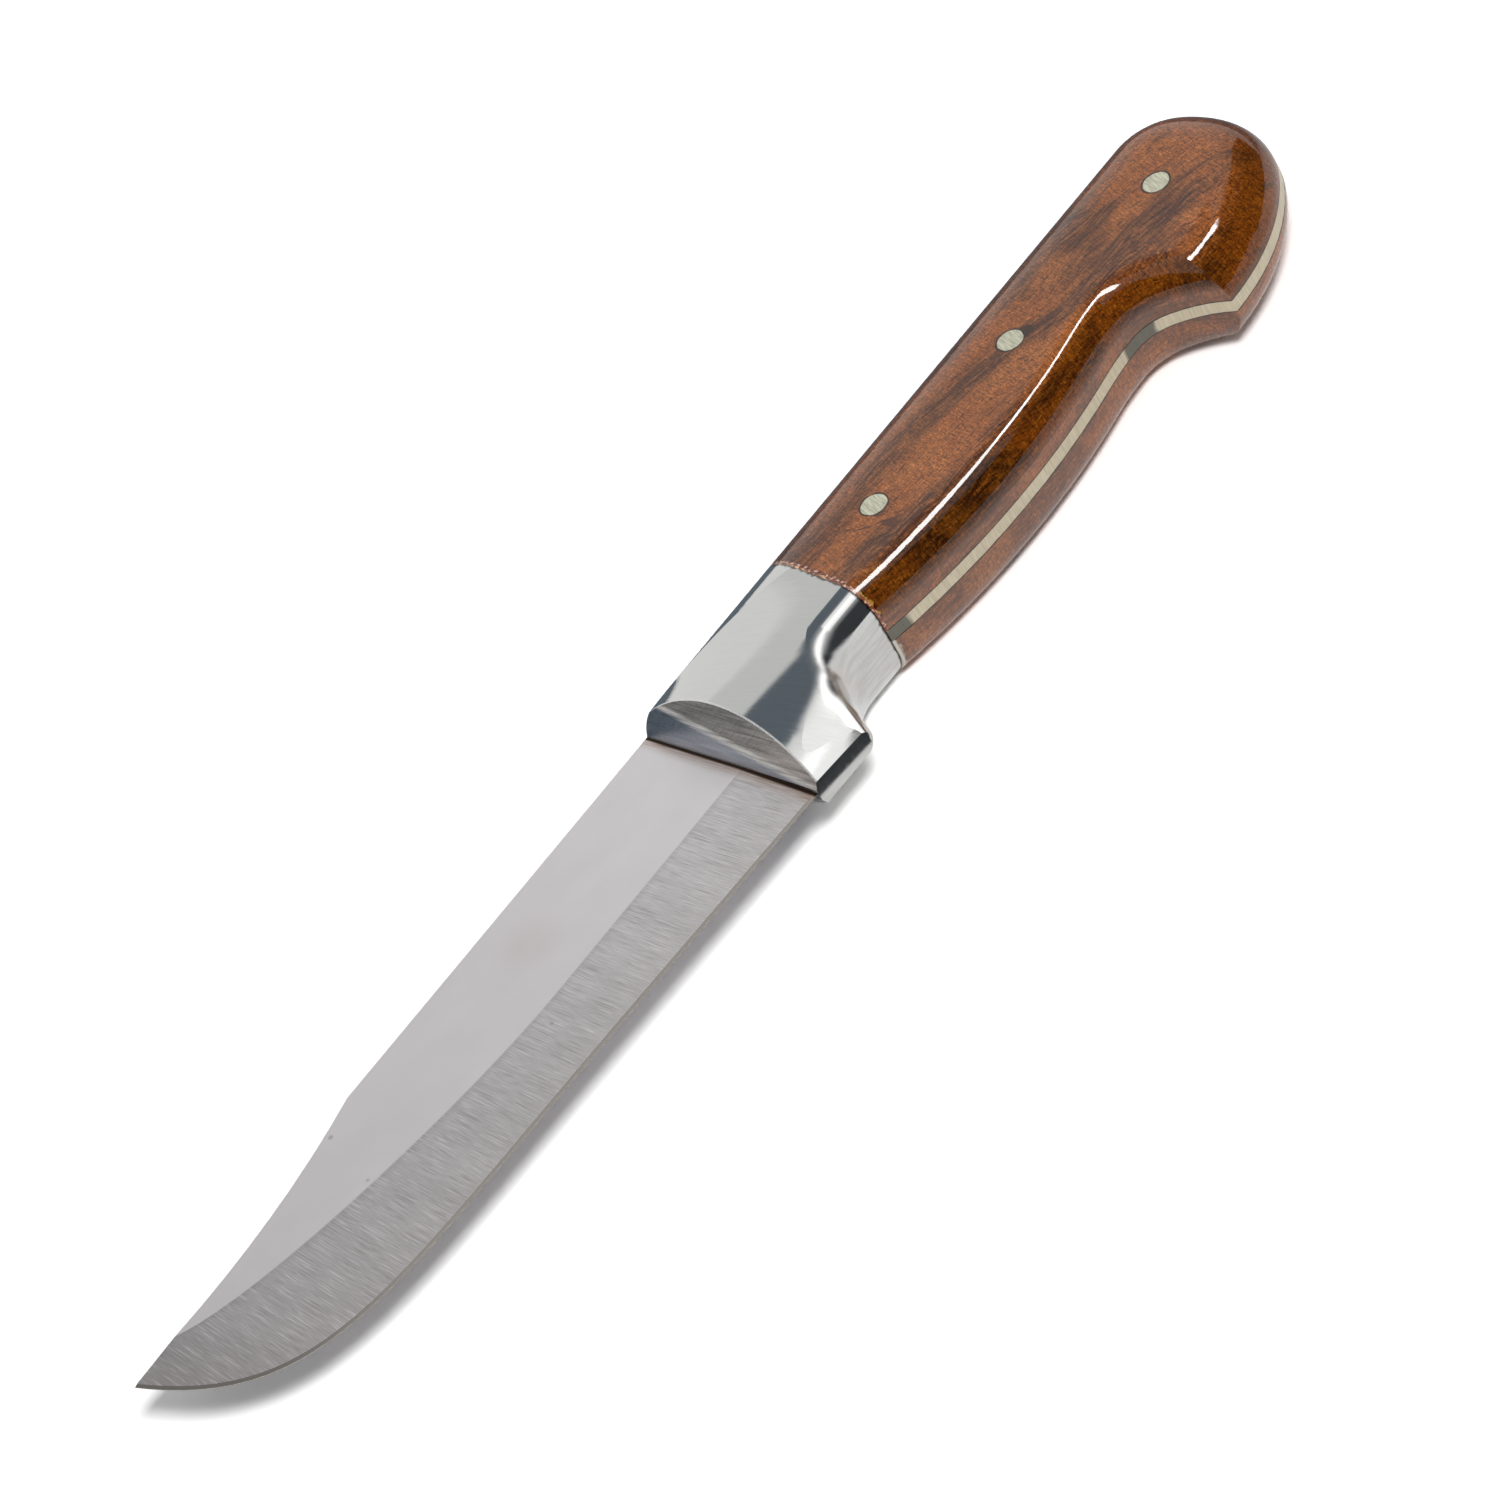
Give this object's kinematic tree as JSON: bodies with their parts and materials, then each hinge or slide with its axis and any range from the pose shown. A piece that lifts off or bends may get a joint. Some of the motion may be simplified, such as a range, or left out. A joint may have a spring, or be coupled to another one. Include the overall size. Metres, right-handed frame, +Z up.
{
  "type": "boning knife",
  "caption": "Full-tang boning knife with a narrow clipped blade, a polished cast bolster with a guard and a lacquered walnut grip with a hooked butt.",
  "frame": {"origin": "on the surface the knife lies on, under the middle of its length and depth", "axes": "+X from the blade's tip toward the butt, +Y from the cutting edge toward the spine, +Z up, through the thickness from the right side to the left"},
  "size_m": [0.3076, 0.0448, 0.022],
  "materials": {
    "blade_steel": "satin flats with brushed bevels",
    "bolster_steel": "mirror polished stainless casting",
    "left_walnut": "clear gloss lacquer",
    "right_walnut": "clear gloss lacquer",
    "rivet_metal": "ground flush with fine scratches",
    "glue": "cured dark epoxy",
    "seam_resin": "translucent filler, rough edged"
  },
  "bodies": {
    "root": {"blade_and_tang": "blade_steel", "bolster": "bolster_steel", "left_scale": "left_walnut", "right_scale": "right_walnut", "front_rivet": "rivet_metal", "middle_rivet": "rivet_metal", "rear_rivet": "rivet_metal", "left_adhesive": "glue", "right_adhesive": "glue", "left_seam_resin": "seam_resin", "right_seam_resin": "seam_resin"}
  },
  "joints": []
}
